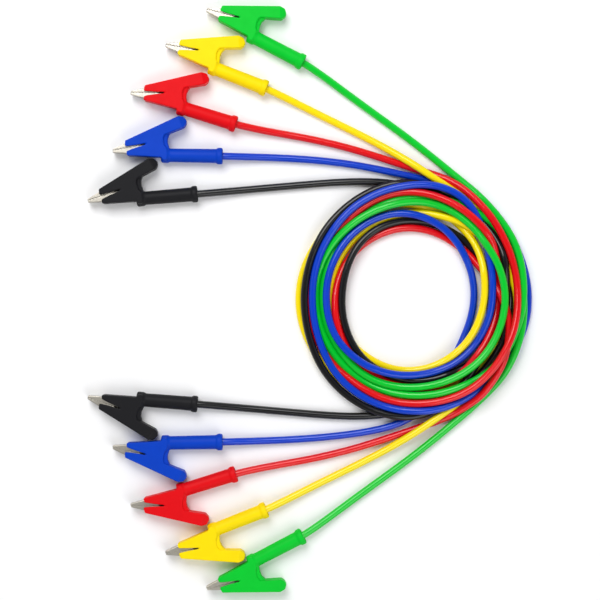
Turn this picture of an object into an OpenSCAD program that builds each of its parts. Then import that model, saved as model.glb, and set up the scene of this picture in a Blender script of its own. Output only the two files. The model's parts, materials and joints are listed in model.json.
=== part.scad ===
// Set of five test leads with an insulated alligator clip at each end, laid flat,
// with the five leads wound together into one loose round coil.
// Each clip lies on its side, so its pivot stands upright. The bench top is z = 0.

/* [Clip] */
// Thickness of a clip's soft boot, across its two flat sides
boot_t = 9.2; // [9:0.1:10]
// Wall of the soft boot around the jaws
boot_wall = 1.2; // [1:0.05:1.3]
// Length of the sleeve, from the body collar to where the wire comes out
sleeve_len = 29; // [26:1:34]
// Diameter of the sleeve next to the body collar
sleeve_d = 7.4; // [7:0.1:7.8]
// Diameter of the collar between the body and the sleeve
body_collar_d = 8.6; // [8.4:0.1:9.1]
// Diameter of the collar at the end of the sleeve
end_collar_d = 9.2; // [8.6:0.1:9.2]
// Length of bare jaw that stands out of the boot
nose_len = 6.6; // [5:0.2:8]
// Thickness of the plated steel that the jaws are folded from
plate_t = 0.6; // [0.5:0.05:0.65]
// Diameter of the pivot rivet
rivet_d = 2; // [1.8:0.1:2.2]
// How far every clip is squeezed open, in degrees
clip_opening = 0; // [0:1:28]

/* [Leads] */
// Outside diameter of the wire's jacket
wire_d = 4; // [3.6:0.1:4.2]
// Sides of the tube that stands for the wire
wire_sides = 8; // [8:1:12]

/* [Coil] */
// Inner radius of the coil
coil_r_in = 37; // [34:1:42]
// Outer radius of the coil
coil_r_out = 66; // [65:0.5:67]
// Height of the coil on the bench
coil_h = 9; // [8:0.5:12]

/* [Hidden] */
$fn = 48;
little = 0.01;
z_mid = boot_t / 2;

// The five leads, in the order they lie: name, colour.
LEADS = ["black", "blue", "red", "yellow", "green"];
LEAD_COLOURS = ["#2b2b2b", "#0a45c8", "#ea1d25", "#ffe600", "#00d142"];
STEEL = "#cfc6b8";
SPRING_STEEL = "#a9a9ac";
COPPER = "#c98a55";

// Where each lead's first clip lies: x and y of the back of its body collar, the clip's
// direction and the direction of its sleeve, which is soft and bends a little at the
// collar. The second clip is the same clip turned over, opposite the first.
CLIP_AT = [
    [-28.7, 55.2, 5.5, 4.6],
    [-15.1, 78.7, -1.5, -1],
    [-6.4, 104.1, -13.4, -17.2],
    [11, 125.7, -22.3, -21.5],
    [32.3, 142.7, -27, -27.5]
];
ENDS = [1, 2];

// Route of each lead from clear of its sleeve to the coil, on the bench or over its neighbour.
wire_z = wire_d / 2;
LEAD_IN = [
    [[19, 59.3, 2.8], [31, 60.4, wire_z], [44, 61.4, wire_z], [57, 62.5, wire_z],
     [70, 63.6, wire_z], [82, 64.4, wire_z], [93, 64.7, wire_z], [103, 63.8, wire_z]],
    [[33, 77.9, 2.8], [44, 77.5, wire_z], [56, 76.9, wire_z], [68, 76, wire_z],
     [80, 74.6, wire_z], [92, 72.8, wire_z], [103, 70.6, wire_z], [113, 67.8, wire_z],
     [121, 65.2, wire_z]],
    [[40, 91.9, 2.8], [51, 90, wire_z], [63, 87.6, wire_z], [76, 84.8, wire_z],
     [88, 81.6, wire_z], [100, 77.8, wire_z], [111, 73.8, wire_z], [121, 70.6, wire_z],
     [130, 67.4, wire_z], [137, 63.4, wire_z], [142, 60, wire_z]],
    [[51, 108.8, 2.8], [62, 103.2, wire_z], [73, 97.9, wire_z], [84, 92.7, wire_z],
     [94, 87.7, 2.8], [103, 83, 4.2], [112, 77.8, 5.8], [120, 72.2, 6.4],
     [127, 67.6, 6.4], [133, 63.6, 6.4]],
    [[71, 120.3, 2.8], [80, 113.8, wire_z], [91, 105.8, wire_z], [102, 98, wire_z],
     [113, 90.2, wire_z], [124, 81.8, wire_z], [133, 74.4, 2.6], [141, 67.4, 3.8],
     [148.5, 60.6, 5], [155.5, 53.2, 6]]
];
coil_x = 117;
coil_edge = 2;

// Boot outline of a clip in its own frame: x along the sleeve with 0 at the back of the
// body collar, y towards the lever with 0 on the sleeve's axis.
front_x = -24.3;
top_front_y = 7;
top_slope = tan(26.4);
lever_top_x = 4.1;
lever_top = [lever_top_x, top_front_y + top_slope * (lever_top_x - front_x)];
lever_end = [[7, 21.1], [8.7, 19.2], [8.8, 17.2], [7.6, 15.3]];
lever_root = [-1.9, 11.3];
low_front = [-23.2, -0.9];
low_back = [-4.4, -1.4];
web_top = [-1, 6.4];
collar_len = 4.4;
end_collar_len = 3;
sleeve_flare = 0.4;
lip_open = 2.5;
lip_shut = 0.8;
lip_end_x = -13;

// The jaws close along a line from their tip to the pivot.
pivot = [-7, 7];
tip = [front_x - nose_len, 1.6];
mouth_slope = (pivot[1] - tip[1]) / (pivot[0] - tip[0]);
tooth_pitch = 1.6;
tooth_depth = 0.6;
tooth_gap = 0.16;
teeth_end_x = -15;
teeth = floor((teeth_end_x - tip[0]) / tooth_pitch);

// Half widths of the folded jaws, from the mid plane outwards: the fixed jaw's walls and the
// moving jaw's front walls share one width, and its rear walls fit between the fixed walls.
fit_gap = 0.05;
jaw_half = 3;
ear_half = jaw_half - plate_t - 0.1;
cavity_half = jaw_half + fit_gap;
hub_in_half = jaw_half + 0.5;
fixed_ear_r = 3.4;
moving_ear_r = 3.2;
hub_r = 4.8;
hub_gap = 0.3;
pivot_gap = 0.05;
rivet_head_r = 1.9;
rivet_head_t = 0.4;
step_x = -17;
floor_front_y = 0.5;
floor_slope = (low_back[1] - low_front[1]) / (low_back[0] - low_front[0]);
tail_x = 4.4;
tail_depth = 2.6;

// Crimp barrel of the fixed jaw and the wire in it.
barrel_r = 2.4;
barrel_x = [-1, 5];
neck_half = 1.4;
sleeve_bore_r = 2.9;
sleeve_mouth_r = 3.5;
sleeve_mouth_len = 2.5;
core_r = 1.7;
core_x = -0.6;
jacket_x = 6;
straight_out = 6;
out_drop = 0.4;

// Torsion spring around the rivet.
spring_wire = 0.8;
spring_r = 2;
spring_turns = 4;
spring_groove = 0.2;
lever_leg = [39.5, 13];
floor_leg = [-68, 5.7];

CLIP_PARTS = ["fixed_jaw", "moving_jaw", "spring", "boot_body", "boot_lever"];
function clip_node(lead, end, part) = str(LEADS[lead], "_clip_", end, "_", part);
function jacket_node(lead) = str(LEADS[lead], "_wire_jacket");

// ---- Lines of the clip -------------------------------------------------------------
function mouth_y(x) = tip[1] + mouth_slope * (x - tip[0]);
function top_y(x, depth) = top_front_y + top_slope * (x - front_x) - depth / cos(atan(top_slope));
function floor_y(x) = floor_front_y + floor_slope * (x - tip[0]);

// The toothed line between the jaws, from the tip backwards, moved up by shift.
function tooth_line(shift) = [
    for (k = [0:2 * teeth])
        let (x = tip[0] + k * tooth_pitch / 2)
        [x, mouth_y(x) + shift + (k % 2 == 0 ? -tooth_depth / 2 : tooth_depth / 2)]
];
function reversed(list) = [for (k = [len(list) - 1:-1:0]) list[k]];

// ---- Placing -----------------------------------------------------------------------
module at_clip(lead, end) {
    x = CLIP_AT[lead][0];
    y = CLIP_AT[lead][1];
    turn = CLIP_AT[lead][2];
    if (end == 1)
        translate([x, y, 0]) rotate([0, 0, turn]) children();
    else
        translate([x, -y, boot_t]) rotate([0, 0, -turn]) rotate([180, 0, 0]) children();
}

// A slab between two heights measured from the clip's mid plane.
module slab(low, high) {
    translate([0, 0, z_mid + low]) linear_extrude(high - low) children();
}

// The same outline on both sides of the mid plane, between two half widths.
module both_walls(inner, outer) {
    slab(inner, outer) children();
    slab(-outer, -inner) children();
}

module along_axis(x) {
    translate([x, 0, z_mid]) rotate([0, 90, 0]) children();
}

// The same, on the sleeve's axis, which leaves the clip's axis by an angle at the collar.
module along_sleeve(x, bend) {
    rotate([0, 0, bend]) along_axis(x) children();
}

module at_pivot() {
    translate([pivot[0], pivot[1], z_mid]) children();
}

module squeezed() {
    translate(pivot) rotate([0, 0, -clip_opening]) translate(-pivot) children();
}

module pivot_bore() {
    at_pivot() cylinder(h = 2 * boot_t, r = rivet_d / 2 + pivot_gap, center = true);
}

// ---- Fixed jaw: folded channel with teeth, ears for the rivet and a crimp barrel ---------
module fixed_wall_outline() {
    polygon(concat(
        tooth_line(-tooth_gap / 2),
        [[-12, mouth_y(-12) - 0.4], [-7, 7], [-3.8, 6], [-4.6, floor_y(-4.6)]],
        [[tip[0], floor_y(tip[0])]]
    ));
    translate(pivot) circle(r = fixed_ear_r);
}

module floor_outline() {
    polygon([
        [tip[0], floor_y(tip[0])],
        [tip[0], floor_y(tip[0]) + plate_t],
        [-4.4, floor_y(-4.4) + plate_t],
        [-4.4, floor_y(-4.4)]
    ]);
}

module neck_outline() {
    polygon([
        [-5.4, floor_y(-5.4)],
        [-5.4, floor_y(-5.4) + plate_t],
        [-4.2, floor_y(-4.2) + plate_t],
        [barrel_x[0] + 0.2, -1.9],
        [barrel_x[0] + 0.2, -2.3],
        [barrel_x[0] - 0.4, -2.3],
        [-4.4, floor_y(-4.4)]
    ]);
}

module fixed_jaw() {
    color(STEEL) difference() {
        union() {
            both_walls(jaw_half - plate_t, jaw_half) fixed_wall_outline();
            slab(-jaw_half, jaw_half) floor_outline();
            slab(-neck_half, neck_half) neck_outline();
            along_axis(barrel_x[0]) difference() {
                cylinder(h = barrel_x[1] - barrel_x[0], r = barrel_r);
                translate([0, 0, -1])
                    cylinder(h = barrel_x[1] - barrel_x[0] + 2, r = barrel_r - plate_t);
            }
        }
        pivot_bore();
    }
}

// ---- Moving jaw: folded channel whose tail is the lever's core ---------------------------
module moving_front_outline() {
    polygon(concat(
        tooth_line(tooth_gap / 2),
        [[step_x + 1.4, mouth_y(step_x + 1.4) + 0.5]],
        [[step_x + 1.4, top_y(step_x + 1.4, boot_wall + fit_gap)]],
        [[tip[0], top_y(tip[0], boot_wall + fit_gap)]]
    ));
}

module moving_rear_outline() {
    polygon([
        [step_x, mouth_y(step_x) + 0.5],
        [-11, mouth_y(-11) + 0.3],
        [-7, 6],
        [-4.3, 8.6],
        [-4.3, 11.4],
        [-2.2, 13.1],
        [tail_x, top_y(tail_x, boot_wall + fit_gap) - tail_depth],
        [tail_x, top_y(tail_x, boot_wall + fit_gap)],
        [step_x, top_y(step_x, boot_wall + fit_gap)]
    ]);
    translate(pivot) circle(r = moving_ear_r);
}

module top_strip(x0, x1) {
    polygon([
        [x0, top_y(x0, boot_wall + fit_gap)],
        [x1, top_y(x1, boot_wall + fit_gap)],
        [x1, top_y(x1, boot_wall + fit_gap + plate_t)],
        [x0, top_y(x0, boot_wall + fit_gap + plate_t)]
    ]);
}

module moving_jaw() {
    color(STEEL) squeezed() difference() {
        union() {
            both_walls(jaw_half - plate_t, jaw_half) moving_front_outline();
            both_walls(ear_half - plate_t, ear_half) moving_rear_outline();
            both_walls(ear_half - plate_t, jaw_half) intersection() {
                moving_front_outline();
                translate([step_x, -20]) square([1.4, 60]);
            }
            slab(-jaw_half, jaw_half) top_strip(tip[0], step_x + 1.4);
            slab(-ear_half, ear_half) top_strip(step_x, tail_x);
        }
        pivot_bore();
    }
}

// ---- Torsion spring: closed turns and one leg on each jaw --------------------------------
// A straight leg that leaves the turns on one side of the rivet: its direction and length.
module spring_leg(leg, side) {
    at_pivot() rotate([0, 0, leg[0]]) translate([0, side * spring_r, side * spring_wire])
        rotate([0, 90, 0]) cylinder(h = leg[1], r = spring_wire / 2, $fn = 24);
}

module spring() {
    inner = spring_r - spring_wire / 2;
    outer = spring_r + spring_wire / 2;
    half = spring_turns * spring_wire / 2;
    grooved = [
        for (turn = [0:spring_turns - 1])
            for (p = [
                [outer - spring_groove, 0],
                [outer, spring_groove],
                [outer, spring_wire - spring_groove]
            ])
                [p[0], p[1] + turn * spring_wire - half]
    ];
    color(SPRING_STEEL) union() {
        at_pivot() rotate_extrude()
            polygon(concat(grooved, [[outer - spring_groove, half], [inner, half], [inner, -half]]));
        spring_leg(lever_leg, 1);
        spring_leg(floor_leg, -1);
    }
}

// ---- Soft boot: the half around the fixed jaw, with the collars and the sleeve -----------
module boot_body_outline() {
    polygon([
        low_front,
        [low_front[0], low_front[1] + 2.3],
        [lip_end_x, mouth_y(lip_end_x) - lip_shut / 2],
        [pivot[0], pivot[1] - 1],
        web_top,
        [-little, sleeve_d / 2 + 0.8],
        [-little, -2],
        [low_back[0], low_back[1]]
    ]);
}

module jaw_cavity_outline() {
    inset = boot_wall - 0.1;
    polygon([
        [front_x - 1, low_front[1] + inset],
        [low_front[0], low_front[1] + inset],
        [low_back[0], low_back[1] + inset],
        [-1.2, -2.8],
        [-1.2, 2.6],
        [-3.2, 6.5],
        [-3.2, 12],
        [front_x - 1, 12]
    ]);
}

module boot_body(tint, bend) {
    root_x = -1;
    bore_x = 1 - collar_len;
    color(tint) difference() {
        union() {
            slab(-z_mid, z_mid) boot_body_outline();
            along_axis(-collar_len) cylinder(h = collar_len, d = body_collar_d);
            along_sleeve(root_x, bend)
                cylinder(h = sleeve_len, d1 = sleeve_d, d2 = sleeve_d + sleeve_flare);
            along_sleeve(sleeve_len - end_collar_len, bend)
                cylinder(h = end_collar_len, d = end_collar_d);
        }
        at_pivot() cylinder(h = 2 * boot_t, r = hub_r + hub_gap, center = true);
        slab(-cavity_half, cavity_half) jaw_cavity_outline();
        along_sleeve(bore_x, bend) cylinder(h = sleeve_len - bore_x + 1, r = sleeve_bore_r);
        along_sleeve(sleeve_len - sleeve_mouth_len, bend)
            cylinder(h = sleeve_mouth_len + 1, r = sleeve_mouth_r);
    }
}

// ---- Soft boot: the half around the moving jaw, with the hub and the lever ---------------
module boot_lever_outline() {
    lip_front_y = low_front[1] + 2.3 + lip_open;
    polygon(concat(
        [[front_x, lip_front_y], [front_x, top_front_y], lever_top],
        lever_end,
        [lever_root, [-3.4, 9.4], pivot, [lip_end_x, mouth_y(lip_end_x) + lip_shut / 2]]
    ));
}

module lever_cavity_outline() {
    polygon([
        [front_x - 1, 0],
        [front_x - 1, top_y(front_x - 1, boot_wall)],
        [tail_x + 0.3, top_y(tail_x + 0.3, boot_wall)],
        [tail_x + 0.3, top_y(tail_x + 0.3, boot_wall) - tail_depth - 0.4],
        [-1.6, 12.7],
        [-3.6, 11.4],
        [-1.6, 9],
        [-1.6, 0]
    ]);
}

module boot_lever(tint) {
    color(tint) squeezed() difference() {
        union() {
            slab(-z_mid, z_mid) boot_lever_outline();
            at_pivot() cylinder(h = boot_t, r = hub_r, center = true);
        }
        slab(-cavity_half, cavity_half) lever_cavity_outline();
        at_pivot() cylinder(h = 2 * hub_in_half, r = hub_r + hub_gap, center = true);
    }
}

// ---- Rivets and bare conductor ends ------------------------------------------------------
module rivet() {
    at_pivot() cylinder(h = 2 * jaw_half, d = rivet_d, center = true);
    for (side = [-1, 1])
        at_pivot() translate([0, 0, side * (jaw_half + rivet_head_t / 2)])
            cylinder(h = rivet_head_t, r = rivet_head_r, center = true);
}

module pivot_rivets() {
    color(STEEL) for (lead = [0:4]) for (end = ENDS)
        at_clip(lead, end) union() rivet();
}

module conductor_ends() {
    color(COPPER) for (lead = [0:4]) for (end = ENDS)
        at_clip(lead, end) along_axis(core_x)
            cylinder(h = jacket_x - core_x, r = core_r);
}

// ---- Wire jackets ------------------------------------------------------------------------
// A point at x along the clip's axis or its sleeve's, which turn picks, and at height z.
function on_axis(place, turn, x, z) =
    [place[0] + x * cos(turn), place[1] + x * sin(turn), z];

// From the crimp, through the sleeve and out of it, to the coil.
function route(lead) =
    let (place = CLIP_AT[lead])
    concat(
        [on_axis(place, place[2], jacket_x, z_mid)],
        [for (x = [sleeve_len / 2, sleeve_len]) on_axis(place, place[3], x, z_mid)],
        [on_axis(place, place[3], sleeve_len + straight_out, z_mid - out_drop)],
        LEAD_IN[lead]
    );
function flipped(path) = [for (p = path) [p[0], -p[1], p[2]]];

function unit(v) = v / norm(v);
function ring(path, k) =
    let (
        last = len(path) - 1,
        ahead = unit(path[min(k + 1, last)] - path[max(k - 1, 0)]),
        side = unit(cross(ahead, [0, 0, 1])),
        up = cross(side, ahead)
    )
    [
        for (s = [0:wire_sides - 1])
            let (a = 360 * (s + 0.5) / wire_sides)
            path[k] + wire_d / 2 * (cos(a) * side + sin(a) * up)
    ];

module tube(path) {
    rings = len(path);
    n = wire_sides;
    points = [for (k = [0:rings - 1]) each ring(path, k)];
    walls = [
        for (k = [0:rings - 2])
            for (s = [0:n - 1])
                let (a = k * n + s, b = k * n + (s + 1) % n)
                [a, b, b + n, a + n]
    ];
    start_cap = [for (s = [n - 1:-1:0]) s];
    end_cap = [for (s = [0:n - 1]) (rings - 1) * n + s];
    polyhedron(points, concat(walls, [start_cap, end_cap]), convexity = 10);
}

module wire_jacket(lead) {
    color(LEAD_COLOURS[lead]) {
        tube(route(lead));
        tube(flipped(route(lead)));
    }
}

// ---- Coil: the outer shape of all the turns ------------------------------------------------
module coiled_wires() {
    color("#7a7f86") translate([coil_x, 0, 0]) rotate_extrude($fn = 96) polygon([
        [coil_r_in + coil_edge, 0],
        [coil_r_out - coil_edge, 0],
        [coil_r_out, coil_edge],
        [coil_r_out, coil_h - coil_edge],
        [coil_r_out - coil_edge, coil_h],
        [coil_r_in + coil_edge, coil_h],
        [coil_r_in, coil_h - coil_edge],
        [coil_r_in, coil_edge]
    ]);
}

// ---- The nodes -----------------------------------------------------------------------------
for (lead = [0:4]) for (end = ENDS) at_clip(lead, end) {
    tint = LEAD_COLOURS[lead];
    fixed_jaw();
    moving_jaw();
    spring();
    boot_body(tint, CLIP_AT[lead][3] - CLIP_AT[lead][2]);
    boot_lever(tint);
}
for (lead = [0:4])
    wire_jacket(lead);
pivot_rivets();
conductor_ends();
coiled_wires();
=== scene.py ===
import json
import math

import bmesh
import bpy
import numpy as np
from mathutils import Matrix, Vector

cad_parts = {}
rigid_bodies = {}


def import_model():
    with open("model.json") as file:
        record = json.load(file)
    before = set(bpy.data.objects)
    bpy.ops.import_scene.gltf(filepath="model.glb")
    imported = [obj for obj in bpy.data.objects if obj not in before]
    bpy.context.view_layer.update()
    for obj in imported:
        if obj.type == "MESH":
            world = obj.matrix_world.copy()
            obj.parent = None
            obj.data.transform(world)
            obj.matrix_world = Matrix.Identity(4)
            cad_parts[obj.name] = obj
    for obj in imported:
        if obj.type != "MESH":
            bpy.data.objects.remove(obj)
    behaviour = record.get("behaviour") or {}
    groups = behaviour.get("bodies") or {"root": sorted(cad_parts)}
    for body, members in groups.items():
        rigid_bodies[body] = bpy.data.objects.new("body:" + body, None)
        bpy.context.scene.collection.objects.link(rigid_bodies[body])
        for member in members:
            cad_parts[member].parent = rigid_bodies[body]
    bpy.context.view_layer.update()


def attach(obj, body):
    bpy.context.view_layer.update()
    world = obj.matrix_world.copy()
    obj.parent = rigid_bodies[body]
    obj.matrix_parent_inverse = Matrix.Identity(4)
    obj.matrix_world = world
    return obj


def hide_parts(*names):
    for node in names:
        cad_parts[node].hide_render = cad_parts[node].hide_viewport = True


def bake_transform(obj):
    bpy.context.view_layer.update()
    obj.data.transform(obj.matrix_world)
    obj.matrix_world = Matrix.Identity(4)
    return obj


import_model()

# Five alligator-clip test leads, laid flat, with their wires in one loose round coil.
# Lengths below are in millimetres unless a name says otherwise, and MM turns them to metres.
MM = 0.001
LEADS = ["black", "blue", "red", "yellow", "green"]
ENDS = (1, 2)

# ---- Camera ----------------------------------------------------------------------------
VIEW_CENTRE = (56.2, -0.5)
VIEW_WIDTH = 330
LENS = 100
SENSOR = 36


def make_camera():
    data = bpy.data.cameras.new("camera")
    data.lens = LENS
    data.sensor_width = SENSOR
    camera = bpy.data.objects.new("camera", data)
    distance = VIEW_WIDTH / 2 / math.tan(math.atan(SENSOR / 2 / LENS))
    camera.location = (VIEW_CENTRE[0] * MM, VIEW_CENTRE[1] * MM, distance * MM)
    bpy.context.scene.collection.objects.link(camera)
    bpy.context.scene.camera = camera


make_camera()

# ---- Where the leads lie -----------------------------------------------------------------
BOOT_T = 9.2
Z_MID = BOOT_T / 2
WIRE_R = 2.0
WIRE_D = 2 * WIRE_R
SLEEVE_LEN = 29
JACKET_X = 6
STRAIGHT_OUT = 6
OUT_DROP = 0.4

# x and y of the back of the first clip's body collar, the clip's direction, the sleeve's.
CLIP_AT = [
    (-28.7, 55.2, 5.5, 4.6),
    (-15.1, 78.7, -1.5, -1),
    (-6.4, 104.1, -13.4, -17.2),
    (11, 125.7, -22.3, -21.5),
    (32.3, 142.7, -27, -27.5),
]
# Route of each lead from clear of its sleeve to the coil.
LEAD_IN = [
    [(19, 59.3, 2.8), (31, 60.4, 2), (44, 61.4, 2), (57, 62.5, 2),
     (70, 63.6, 2), (82, 64.4, 2), (93, 64.7, 2), (103, 63.8, 2)],
    [(33, 77.9, 2.8), (44, 77.5, 2), (56, 76.9, 2), (68, 76, 2),
     (80, 74.6, 2), (92, 72.8, 2), (103, 70.6, 2), (113, 67.8, 2), (121, 65.2, 2)],
    [(40, 91.9, 2.8), (51, 90, 2), (63, 87.6, 2), (76, 84.8, 2), (88, 81.6, 2),
     (100, 77.8, 2), (111, 73.8, 2), (121, 70.6, 2), (130, 67.4, 2), (137, 63.4, 2), (142, 60, 2)],
    [(51, 108.8, 2.8), (62, 103.2, 2), (73, 97.9, 2), (84, 92.7, 2), (94, 87.7, 2.8),
     (103, 83, 5.2), (112, 77.8, 8), (120, 72.2, 10), (127, 67.6, 9), (133, 63.6, 6.4)],
    [(71, 120.3, 2.8), (80, 113.8, 2), (91, 105.8, 2), (102, 98, 2), (113, 90.2, 2),
     (124, 81.8, 2), (133, 74.4, 2.6), (141, 67.4, 3.8), (148.5, 60.6, 5), (155.5, 53.2, 6)],
]
COIL_X = 117
# Radius and layer of each lead in the coil at every quarter turn, clockwise from the right
# of its first turn to the right of its third. Layer 0 lies on the bench.
COIL = [
    [(55, 0), (63.5, 0), (58.3, 1), (64, 0.2), (53, 0), (45.7, 0), (39.3, 0.8), (44.6, 0.7), (43, 0)],
    [(64.4, 0), (62.2, 1), (54.2, 1.2), (62.7, 1.8), (46.2, 1), (42.9, 1), (46.8, 1.2), (49, 1), (36, 0)],
    [(58.6, 1.8), (58, 1), (56.5, 0), (58.6, 1.2), (49, 0), (49, 0), (43, 0), (40.7, 0), (53, 0.2)],
    [(57.5, 0), (54, 0), (62.4, 0), (51.6, 0), (39.8, 1), (40.5, 0), (45.5, 0), (47.5, 0), (57, 0)],
    [(61, 1), (53.8, 1), (52, 0), (54.2, 1.2), (51.6, 1.2), (48.8, 1.2), (50.3, 0.8), (57, 0), (62, 0.4)],
]
# More places on a lead's way, as its number, the angle turned, the radius and the layer.
BETWEEN = [
    (1, -286, 65, 1.7), (1, -293, 65.3, 1.2), (1, -327, 50.5, 0.2),
    (1, -655, 43.5, 1.2), (1, -776, 36.8, 0),
    (2, 46, 61.3, 2.2), (2, 20, 58.9, 1.9), (2, -675, 39.2, 0), (2, -740, 58.3, 1.2), (2, -766, 61.3, 2),
    (4, 38, 64.9, 1.8), (4, 16, 62.2, 1.2), (4, -736, 62.2, 0.8), (4, -758, 64.9, 1.8),
    (3, 52, 61, 0.3), (3, -290, 50.8, 0), (3, -318, 47.8, 0.1), (3, -745, 57.5, 0),
    (3, -770, 59.5, 0), (3, -786, 62, 0.6),
    (0, 82, 61.5, 0), (0, -112, 64.6, 0.4), (0, -660, 43.6, 0.1), (0, -802, 61.5, 0),
]
# How far wires that start at the same layer are set apart, so one of them lies on top.
RANK = [0.1, 0, 0.25, 0.05, 0.4]
# Layer at which each lead comes into the coil.
ENTRY_LAYER = [0, 0, 2.6, 1.1, 2.6]


# ---- Cords ---------------------------------------------------------------------------------
STEP = 2.5


def on_axis(lead, turn, x, z):
    """A point at x along the clip's or the sleeve's axis, at height z."""
    a = math.radians(turn)
    place = CLIP_AT[lead]
    return (place[0] + x * math.cos(a), place[1] + x * math.sin(a), z)


def lead_in(lead):
    """Points from the crimp, through the sleeve and on to the coil, at the first clip."""
    clip_turn, sleeve_turn = CLIP_AT[lead][2:]
    points = [on_axis(lead, clip_turn, JACKET_X, Z_MID)]
    points += [on_axis(lead, sleeve_turn, x, Z_MID) for x in (SLEEVE_LEN / 2, SLEEVE_LEN)]
    points.append(on_axis(lead, sleeve_turn, SLEEVE_LEN + STRAIGHT_OUT, Z_MID - OUT_DROP))
    return points + LEAD_IN[lead]


def coil_points(lead):
    """Points through the coil, worked out from the radius and layer at each quarter turn."""
    x, y, _ = LEAD_IN[lead][-1]
    start = math.degrees(math.atan2(y, x - COIL_X))
    radius = math.hypot(x - COIL_X, y)
    angles = [start] + [-90 * k for k in range(9)] + [-720 - start]
    radii = [radius] + [r for r, _ in COIL[lead]] + [radius]
    layers = [ENTRY_LAYER[lead]] + [layer for _, layer in COIL[lead]] + [ENTRY_LAYER[lead]]
    for which, angle, r, layer in BETWEEN:
        if which == lead:
            at = sum(a > angle for a in angles)
            angles.insert(at, angle)
            radii.insert(at, r)
            layers.insert(at, layer)
    degrees = np.arange(angles[0] - 10, angles[-1] + 5, -10)
    radii_at = ease_through(angles, radii, degrees)
    layers_at = ease_through(angles, layers, degrees)
    turn = np.radians(degrees)
    order = RANK[lead] + 0.1 * (start - degrees) / 360
    inside = np.minimum(1, np.minimum(start - degrees, degrees + 720 + start) / 40)
    z = WIRE_R + WIRE_D * (layers_at + inside * (0.3 * layers_at + order))
    return list(zip(COIL_X + radii_at * np.cos(turn), radii_at * np.sin(turn), z))


def ease_through(stations, values, at):
    """A cubic curve through values at falling stations, flat at its peaks."""
    s = -np.array(stations, float)
    v = np.array(values, float)
    slope = np.diff(v) / np.diff(s)
    tangent = np.zeros(len(v))
    same = slope[:-1] * slope[1:] > 0
    total = np.where(same, slope[:-1] + slope[1:], 1)
    tangent[1:-1] = np.where(same, 2 * slope[:-1] * slope[1:] / total, 0)
    q = -np.array(at, float)
    k = np.clip(np.searchsorted(s, q) - 1, 0, len(s) - 2)
    width = s[k + 1] - s[k]
    t = (q - s[k]) / width
    a, b = t * t * (3 - 2 * t), t * (1 - t) ** 2
    return v[k] * (1 - a) + v[k + 1] * a + width * (tangent[k] * b - tangent[k + 1] * t * t * (1 - t))


def resampled(points, step):
    """The same line with points about step apart."""
    p = np.array(points, float)
    along = np.concatenate([[0], np.cumsum(np.linalg.norm(np.diff(p, axis=0), axis=1))])
    count = int(round(along[-1] / step)) + 1
    at = np.linspace(0, along[-1], count)
    return np.column_stack([np.interp(at, along, p[:, k]) for k in range(3)])


def smooth_line(p, rounds):
    """Rounds off a line's corners, with its ends held."""
    for _ in range(rounds):
        p[1:-1] += 0.25 * (p[:-2] + p[2:] - 2 * p[1:-1])
    return p


def close_pairs(p, owner, place, reach):
    """Pairs of points that may touch: near each other, and not neighbours on one wire."""
    skip = int(4 * WIRE_D / STEP)
    first, second = [], []
    for k in range(0, len(p), 300):
        block = p[k:k + 300]
        near = ((block[:, None, :] - p[None, :, :]) ** 2).sum(2) < reach * reach
        a, b = np.nonzero(near)
        a = a + k
        keep = (a < b) & ((owner[a] != owner[b]) | (np.abs(place[a] - place[b]) > skip))
        first.append(a[keep])
        second.append(b[keep])
    return np.concatenate(first), np.concatenate(second)


def stiffen(q, stride):
    """Straightens a wire a little, felt over twice the stride."""
    bend = np.zeros_like(q)
    bend[stride:-stride] = q[:-2 * stride] + q[2 * stride:] - 2 * q[stride:-stride]
    q[stride:-stride] -= 0.06 * (bend[:-2 * stride] + bend[2 * stride:] - 2 * bend[stride:-stride])


def space_out(q):
    """Keeps the points of a wire evenly apart."""
    gap = np.diff(q, axis=0)
    long = np.linalg.norm(gap, axis=1, keepdims=True)
    move = 0.25 * gap * (1 - long.mean() / long)
    q[:-1] += move
    q[1:] -= move


def settle(paths, rounds):
    """Lets the wires sink under their weight until each rests on the bench or on a wire."""
    p = np.concatenate(paths)
    owner = np.concatenate([np.full(len(q), k) for k, q in enumerate(paths)])
    place = np.concatenate([np.arange(len(q)) for q in paths])
    from_end = np.concatenate(
        [np.minimum(np.arange(len(q)), len(q) - 1 - np.arange(len(q))) for q in paths]
    )
    held = from_end * STEP <= SLEEVE_LEN
    in_coil = np.hypot(p[:, 0] - COIL_X, p[:, 1]) < 66.5
    pull = np.where(in_coil, 0.04, 0.1)[:, None]
    home = p.copy()
    wires = [p[k:k + len(q)] for k, q in zip(np.flatnonzero(place == 0), paths)]
    for k in range(rounds):
        if k % 8 == 0:
            a, b = close_pairs(p, owner, place, WIRE_D + 2.5)
        p[:, 2] -= np.where(held, 0, 0.05)
        p[:, :2] += pull * (home - p)[:, :2]
        for q in wires:
            for stride in (4, 2, 1, 4, 2, 1):
                stiffen(q, stride)
            space_out(q)
        for _ in range(4 if k < rounds - 60 else 8):
            gap = p[a] - p[b]
            apart = np.sqrt((gap ** 2).sum(1)) + 1e-9
            push = np.maximum(WIRE_D - apart, 0) * 0.25 / apart
            move = gap * push[:, None]
            for axis in range(3):
                p[:, axis] += np.bincount(a, move[:, axis], len(p)) - np.bincount(b, move[:, axis], len(p))
            p[:, 2] = np.maximum(p[:, 2], WIRE_R)
            p[held] = home[held]
    return wires


def cord_paths():
    paths = []
    for lead in range(len(LEADS)):
        way_in = lead_in(lead)
        way_out = [(x, -y, z) for x, y, z in reversed(way_in)]
        paths.append(smooth_line(resampled(way_in + coil_points(lead) + way_out, STEP), 12))
    return settle(paths, 320)


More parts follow.
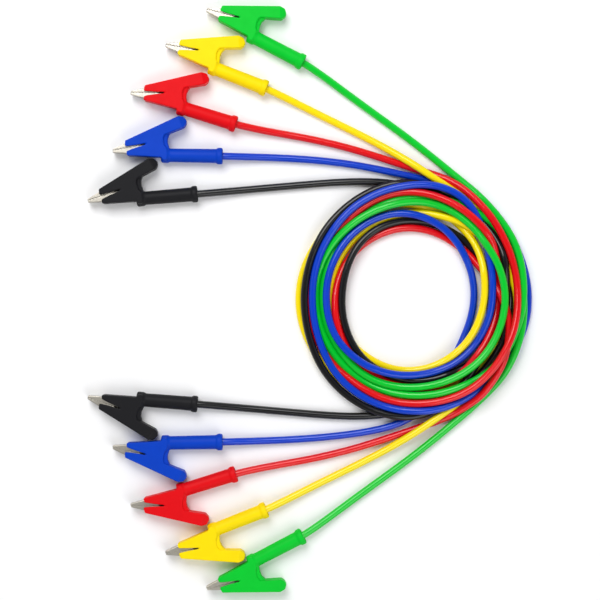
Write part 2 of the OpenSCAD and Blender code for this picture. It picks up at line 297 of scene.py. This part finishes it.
def curve_piece(name, points):
    data = bpy.data.curves.new(name, "CURVE")
    data.dimensions = "3D"
    data.bevel_depth = 1  # times each point's radius, which the piece's bounds also count
    data.bevel_resolution = 6
    data.resolution_u = 3
    data.use_fill_caps = True
    spline = data.splines.new("NURBS")
    spline.points.add(len(points) - 1)
    for point, place in zip(spline.points, points):
        point.co = (*[c * MM for c in place], 1)
        point.radius = WIRE_R * MM
    spline.order_u = 4
    spline.use_endpoint_u = True
    piece = bpy.data.objects.new(name, data)
    bpy.context.scene.collection.objects.link(piece)
    return piece


CORDS = []
for lead, points in enumerate(cord_paths()):
    colour = LEADS[lead]
    every_other = points[::2] if len(points) % 2 else np.vstack([points[::2], points[-1:]])
    cord = curve_piece(f"{colour}_wire", every_other)
    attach(cord, "leads")
    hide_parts(f"{colour}_wire_jacket", "coiled_wires")
    CORDS.append(cord)

# ---- Boots ---------------------------------------------------------------------------------
# A boot in its clip's own frame: x along the sleeve with 0 at the back of the body collar,
# y towards the lever with 0 on the sleeve's axis, z across the boot with 0 in the middle.
VOXEL = 0.3
BOOT_HALF = 4.55
WEB_HALF = 2.9
CAVITY_HALF = 3.05
LEVER_TURN = math.radians(26.4)
# Corners of the thick part, each with the radius it is rounded to.
BOOT_CORNERS = [
    (-23.2, -0.9, 0.6), (-4.4, -1.4, 0.6), (-3.4, -3, 0.6), (-1.2, -3, 0.4), (-1.2, 3.2, 0.4),
    (-2.7, 4.8, 1.2), (-3.6, 8.4, 2.5), (-3, 10.8, 1.2), (7.6, 15.3, 0.5), (8.8, 17.2, 0.5),
    (8.7, 19.2, 0.5), (7, 21.1, 0.5), (4.1, 21.1, 0.6), (-24.3, 7, 0.6), (-24.3, 3.9, 0.6),
    (-18.5, 4.75, 4), (-12.8, 6, 0.4), (-12, 5.8, 0.2), (-12.8, 5.3, 0.4), (-18.5, 3.3, 4),
    (-23.2, 1.4, 0.7),
]
WEB_CORNERS = [
    (-4.6, 2.6, 0), (-0.3, 2.6, 0), (-0.4, 4.4, 1), (-1.2, 6.6, 2), (-1.3, 9.2, 2),
    (-0.2, 12, 0.5), (-2, 13, 0), (-4.6, 11, 0),
]
CAVITY_CORNERS = [(-26, 0.2, 0), (-9.5, -0.1, 0), (-9.5, 13, 0), (-26, 4.8, 0)]
COLLAR = [(-4.6, 3.3), (-4.4, 3.9), (-3.8, 4.3), (-0.8, 4.3), (-0.2, 3.95), (0.1, 3.4)]
SLEEVE = [(-1, 3.7), (26.4, 3.9)]
END_RING = [(25.6, 3.8), (25.9, 4.3), (26.4, 4.55), (28.4, 4.55), (29, 4.15)]
RECESS = [(26.3, 3.15), (30, 3.4)]


def rounded(corners):
    """An outline with every corner rounded to the radius given with it."""
    line = []
    for k, (x, y, r) in enumerate(corners):
        here = Vector((x, y))
        back = Vector(corners[k - 1][:2]) - here
        on = Vector(corners[(k + 1) % len(corners)][:2]) - here
        if r == 0:
            line.append(here)
            continue
        half = back.angle(on) / 2
        reach = min(r / math.tan(half), 0.45 * back.length, 0.45 * on.length)
        a = here + back.normalized() * reach
        b = here + on.normalized() * reach
        for step in range(6):
            s = step / 5
            line.append(a * (1 - s) ** 2 + here * 2 * s * (1 - s) + b * s * s)
    return line


def plate(bm, corners, half):
    """An outline as a plate between -half and half."""
    outline = rounded(corners)
    low = [bm.verts.new((p.x, p.y, -half)) for p in outline]
    high = [bm.verts.new((p.x, p.y, half)) for p in outline]
    bm.faces.new(low[::-1])
    bm.faces.new(high)
    for k in range(len(outline)):
        n = (k + 1) % len(outline)
        bm.faces.new((low[k], low[n], high[n], high[k]))


def turned(bm, profile, sides=64):
    """A solid turned about the x axis, from pairs of x and radius."""
    rings = []
    for x, r in profile:
        angles = [math.tau * s / sides for s in range(sides)]
        rings.append([bm.verts.new((x, r * math.cos(a), r * math.sin(a))) for a in angles])
    for first, second in zip(rings, rings[1:]):
        for s in range(sides):
            n = (s + 1) % sides
            bm.faces.new((first[s], first[n], second[n], second[s]))
    bm.faces.new(rings[0][::-1])
    bm.faces.new(rings[-1])


def mesh_object(name, bm):
    bmesh.ops.recalc_face_normals(bm, faces=bm.faces)
    data = bpy.data.meshes.new(name)
    bm.to_mesh(data)
    bm.free()
    piece = bpy.data.objects.new(name, data)
    bpy.context.scene.collection.objects.link(piece)
    return piece


def applied(piece):
    """Turns a piece's modifiers into its mesh."""
    graph = bpy.context.evaluated_depsgraph_get()
    data = bpy.data.meshes.new_from_object(piece.evaluated_get(graph))
    piece.modifiers.clear()
    piece.data = data
    return piece


def remeshed(piece, smooth):
    remesh = piece.modifiers.new("remesh", "REMESH")
    remesh.mode = "VOXEL"
    remesh.voxel_size = VOXEL
    soften = piece.modifiers.new("soften", "SMOOTH")
    soften.factor = 0.5
    soften.iterations = smooth
    return applied(piece)


def boot_mesh():
    """The boot with a straight sleeve, in millimetres."""
    bm = bmesh.new()
    plate(bm, BOOT_CORNERS, BOOT_HALF)
    plate(bm, WEB_CORNERS, WEB_HALF)
    turned(bm, COLLAR)
    turned(bm, SLEEVE)
    turned(bm, END_RING)
    boot = remeshed(mesh_object("boot_shape", bm), 2)
    bm = bmesh.new()
    plate(bm, CAVITY_CORNERS, CAVITY_HALF)
    turned(bm, RECESS)
    hollow = mesh_object("boot_hollow", bm)
    cut = boot.modifiers.new("cut", "BOOLEAN")
    cut.operation = "DIFFERENCE"
    cut.solver = "EXACT"
    cut.object = hollow
    applied(boot)
    bpy.data.objects.remove(hollow)
    remeshed(boot, 4)
    bm = bmesh.new()
    bm.from_mesh(boot.data)
    for vert in bm.verts:
        along = vert.co.x * math.cos(LEVER_TURN) + vert.co.y * math.sin(LEVER_TURN)
        facet = min(max((along - 12.9) / 2.8, 0), 1)
        if vert.co.y > 12:
            vert.co.z *= 1 - 0.38 * facet
    bpy.data.objects.remove(boot)
    return bm


def eased(t):
    t = min(max(t, 0), 1)
    return t * t * (3 - 2 * t)


def place_clip(lead, end):
    """From the clip's own frame, in millimetres, to where it lies, in metres."""
    x, y, turn, _ = CLIP_AT[lead]
    side = 1 if end == 1 else -1
    flip = Matrix.Identity(4) if end == 1 else Matrix.Rotation(math.pi, 4, "X")
    spin = Matrix.Rotation(side * math.radians(turn), 4, "Z")
    return Matrix.Scale(MM, 4) @ Matrix.Translation((x, side * y, Z_MID)) @ spin @ flip


def add_boots():
    shape = boot_mesh()
    boots = []
    for lead, colour in enumerate(LEADS):
        bend = math.radians(CLIP_AT[lead][3] - CLIP_AT[lead][2])
        for end in ENDS:
            bm = shape.copy()
            for vert in bm.verts:
                if vert.co.x > -1 and vert.co.y < 6:
                    vert.co = Matrix.Rotation(bend * eased((vert.co.x + 1) / 2.5), 3, "Z") @ vert.co
            to_place = place_clip(lead, end)
            bm.transform(to_place)
            boot = mesh_object(f"{colour}_boot_{end}", bm)
            boot.data.shade_smooth()
            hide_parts(f"{colour}_clip_{end}_boot_body", f"{colour}_clip_{end}_boot_lever")
            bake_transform(boot)
            boots.append(boot)
    shape.free()
    return boots


BOOTS = add_boots()

# ---- Materials -------------------------------------------------------------------------------
# Colour of each lead's boots and of its wire.
BOOT_COLOURS = [
    (0.011, 0.011, 0.013), (0, 0.05, 0.52), (0.76, 0.002, 0.006), (0.97, 0.74, 0), (0, 0.58, 0.03),
]
WIRE_COLOURS = [
    (0.006, 0.006, 0.007), (0, 0.045, 0.55), (0.74, 0.002, 0.006), (0.98, 0.76, 0), (0, 0.57, 0.028),
]


def material(name, colour, shade, roughness, patch, grain, bump, metallic=0, coat=0, shine=0.5, edge=0):
    """A surface with patches of a second shade, uneven gloss, a fine grain and eased edges."""
    mat = bpy.data.materials.new(name)
    mat.use_nodes = True
    nodes = mat.node_tree.nodes
    link = mat.node_tree.links.new
    surface = nodes["Principled BSDF"]
    surface.inputs["Metallic"].default_value = metallic
    surface.inputs["Specular IOR Level"].default_value = shine
    surface.inputs["Coat Weight"].default_value = coat
    surface.inputs["Coat Roughness"].default_value = 0.12
    where = nodes.new("ShaderNodeTexCoord")
    patches = nodes.new("ShaderNodeTexNoise")
    patches.inputs["Scale"].default_value = patch
    patches.inputs["Detail"].default_value = 4
    link(where.outputs["Object"], patches.inputs["Vector"])
    tint = nodes.new("ShaderNodeMix")
    tint.data_type = "RGBA"
    tint.inputs["A"].default_value = (*colour, 1)
    tint.inputs["B"].default_value = (*[c * shade for c in colour], 1)
    link(patches.outputs["Fac"], tint.inputs["Factor"])
    link(tint.outputs["Result"], surface.inputs["Base Color"])
    gloss = nodes.new("ShaderNodeMapRange")
    gloss.inputs["To Min"].default_value = roughness[0]
    gloss.inputs["To Max"].default_value = roughness[1]
    link(patches.outputs["Fac"], gloss.inputs["Value"])
    link(gloss.outputs["Result"], surface.inputs["Roughness"])
    grains = nodes.new("ShaderNodeTexNoise")
    grains.inputs["Scale"].default_value = grain
    grains.inputs["Detail"].default_value = 3
    link(where.outputs["Object"], grains.inputs["Vector"])
    relief = nodes.new("ShaderNodeBump")
    relief.inputs["Strength"].default_value = 0.5
    relief.inputs["Distance"].default_value = bump
    link(grains.outputs["Fac"], relief.inputs["Height"])
    link(relief.outputs["Normal"], surface.inputs["Normal"])
    if edge:
        rim = nodes.new("ShaderNodeBevel")
        rim.samples = 6
        rim.inputs["Radius"].default_value = edge
        link(rim.outputs["Normal"], relief.inputs["Normal"])
    return mat


def dress(piece, mat):
    piece.data.materials.clear()
    piece.data.materials.append(mat)


for lead, colour in enumerate(LEADS):
    rubber = material(
        f"{colour}_boot_pvc", BOOT_COLOURS[lead], 0.86, (0.44, 0.56), 160, 2600, 0.00003, shine=0.12
    )
    jacket = material(
        f"{colour}_wire_pvc", WIRE_COLOURS[lead], 0.9, (0.14, 0.22), 120, 900, 0.00002,
        coat=0.12, shine=0.35,
    )
    for boot in BOOTS[2 * lead:2 * lead + 2]:
        dress(boot, rubber)
    dress(CORDS[lead], jacket)

NICKEL = material(
    "nickel_plate", (0.66, 0.62, 0.54), 0.62, (0.3, 0.5), 420, 3500, 0.00001, metallic=1, edge=0.0006
)
SPRING_WIRE = material("spring_wire", (0.5, 0.5, 0.52), 0.75, (0.3, 0.42), 400, 3000, 0.00001, metallic=1)
BARE_COPPER = material("bare_copper", (0.72, 0.33, 0.16), 0.8, (0.3, 0.42), 500, 4000, 0.00001, metallic=1)
for colour in LEADS:
    for end in ENDS:
        dress(bpy.data.objects[f"{colour}_clip_{end}_fixed_jaw"], NICKEL)
        dress(bpy.data.objects[f"{colour}_clip_{end}_moving_jaw"], NICKEL)
        dress(bpy.data.objects[f"{colour}_clip_{end}_spring"], SPRING_WIRE)
dress(bpy.data.objects["pivot_rivets"], NICKEL)
dress(bpy.data.objects["conductor_ends"], BARE_COPPER)

# ---- Bench and light ---------------------------------------------------------------------------


def make_bench():
    bm = bmesh.new()
    bmesh.ops.create_grid(bm, x_segments=2, y_segments=2, size=3)
    bench = mesh_object("bench_top", bm)
    top = material("bench_white", (0.93, 0.93, 0.94), 0.99, (0.6, 0.7), 8, 900, 0.00001)
    dress(bench, top)


def make_light():
    world = bpy.data.worlds.new("studio")
    bpy.context.scene.world = world
    world.use_nodes = True
    nodes = world.node_tree.nodes
    link = world.node_tree.links.new
    where = nodes.new("ShaderNodeTexCoord")
    parts = nodes.new("ShaderNodeSeparateXYZ")
    fade = nodes.new("ShaderNodeMapRange")
    fade.inputs["From Min"].default_value = 0.35
    fade.inputs["From Max"].default_value = 1
    fade.inputs["To Min"].default_value = 0.62
    fade.inputs["To Max"].default_value = 0.1
    link(where.outputs["Generated"], parts.inputs["Vector"])
    link(parts.outputs["Z"], fade.inputs["Value"])
    link(fade.outputs["Result"], nodes["Background"].inputs["Strength"])
    nodes["Background"].inputs["Color"].default_value = (1, 1, 1, 1)
    for name, place, size, energy in (
        ("key", (-0.2, 0.6, 0.95), 0.7, 10),
        ("fill", (0.5, -0.65, 0.9), 0.9, 6),
    ):
        data = bpy.data.lights.new(name, "AREA")
        data.size = size
        data.energy = energy
        lamp = bpy.data.objects.new(name, data)
        lamp.location = place
        aim = Vector((VIEW_CENTRE[0] * MM, 0, 0)) - lamp.location
        lamp.rotation_euler = aim.to_track_quat("-Z", "Y").to_euler()
        bpy.context.scene.collection.objects.link(lamp)
    bpy.context.scene.view_settings.view_transform = "Standard"


make_bench()
make_light()
